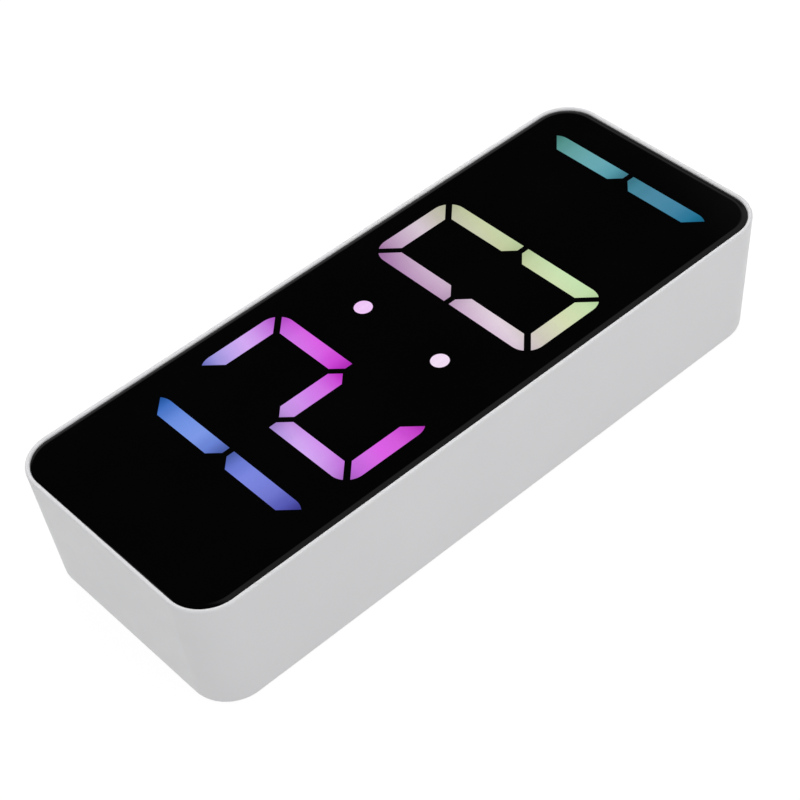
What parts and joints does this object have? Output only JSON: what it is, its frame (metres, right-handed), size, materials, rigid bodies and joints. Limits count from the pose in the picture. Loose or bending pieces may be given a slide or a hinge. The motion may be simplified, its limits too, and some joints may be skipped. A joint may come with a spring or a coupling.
{
  "type": "led clock",
  "caption": "Oblong desk clock with a white tub housing, a glossy black front and large lit seven-segment digits; buttons, power inlet and battery door are on the back.",
  "frame": {"origin": "the middle of the flat back, on which the clock lies in the picture", "axes": "+Z out of the display face, +X to the right of someone reading the time, +Y towards the top of the digits"},
  "size_m": [0.16, 0.0624, 0.0312],
  "materials": {
    "white_plastic": "satin moulded plastic",
    "gloss_black": "gloss",
    "digit_light_1": "lit from behind, blue",
    "digit_light_2": "lit from behind, violet to magenta",
    "digit_light_3": "lit from behind, mauve to light green",
    "digit_light_4": "lit from behind, teal to blue",
    "colon_light": "lit from behind, pink",
    "black_plastic": "matt",
    "white_board": "satin coated circuit board",
    "green_board": "satin coated circuit board",
    "plated_steel": "bright plated",
    "cell_wrapper": "plain coloured sleeve",
    "red_insulation": "satin",
    "black_insulation": "satin"
  },
  "bodies": {
    "root": {"housing": "white_plastic", "front_panel": "gloss_black", "digit_diffuser_1": "digit_light_1", "digit_diffuser_2": "digit_light_2", "digit_diffuser_3": "digit_light_3", "digit_diffuser_4": "digit_light_4", "colon_diffuser": "colon_light", "segment_frame": "black_plastic", "display_board": "white_board", "case_screw_1": "plated_steel", "case_screw_2": "plated_steel", "case_screw_3": "plated_steel", "case_screw_4": "plated_steel", "main_board": "green_board", "main_board_screw_1": "plated_steel", "main_board_screw_2": "plated_steel", "main_board_screw_3": "plated_steel", "main_board_screw_4": "plated_steel", "controller_chip": "black_plastic", "clock_crystal": "plated_steel", "capacitor": "black_plastic", "board_header": "black_plastic", "buzzer": "black_plastic", "power_socket": "plated_steel", "switch_body_1": "plated_steel", "switch_body_2": "plated_steel", "switch_body_3": "plated_steel", "switch_body_4": "plated_steel", "battery_cell_1": "cell_wrapper", "battery_cell_2": "cell_wrapper", "battery_cell_3": "cell_wrapper", "cell_spring_1": "plated_steel", "cell_spring_2": "plated_steel", "cell_spring_3": "plated_steel", "contact_plus": "plated_steel", "contact_bridge_left": "plated_steel", "contact_bridge_right": "plated_steel", "contact_minus": "plated_steel", "battery_lead_plus": "red_insulation", "battery_lead_minus": "black_insulation"},
    "button_body_1": {"button_1": "white_plastic", "switch_plunger_1": "black_plastic"},
    "button_body_2": {"button_2": "white_plastic", "switch_plunger_2": "black_plastic"},
    "button_body_3": {"button_3": "white_plastic", "switch_plunger_3": "black_plastic"},
    "button_body_4": {"button_4": "white_plastic", "switch_plunger_4": "black_plastic"},
    "door_body": {"battery_door": "white_plastic", "battery_door_screw": "plated_steel"}
  },
  "joints": [
    {"name": "button_press_1", "type": "slide", "parent": "root", "child": "button_body_1", "axis": [0, 0, 1], "range_m": [0, 0.0006], "stiffness_N_per_m": 2000, "springref_m": -0.0001},
    {"name": "button_press_2", "type": "slide", "parent": "root", "child": "button_body_2", "axis": [0, 0, 1], "range_m": [0, 0.0006], "stiffness_N_per_m": 2000, "springref_m": -0.0001},
    {"name": "button_press_3", "type": "slide", "parent": "root", "child": "button_body_3", "axis": [0, 0, 1], "range_m": [0, 0.0006], "stiffness_N_per_m": 2000, "springref_m": -0.0001},
    {"name": "button_press_4", "type": "slide", "parent": "root", "child": "button_body_4", "axis": [0, 0, 1], "range_m": [0, 0.0006], "stiffness_N_per_m": 2000, "springref_m": -0.0001},
    {"name": "battery_door_off", "type": "slide", "parent": "root", "child": "door_body", "axis": [0, 0, -1], "range_m": [0, 0.012]}
  ]
}
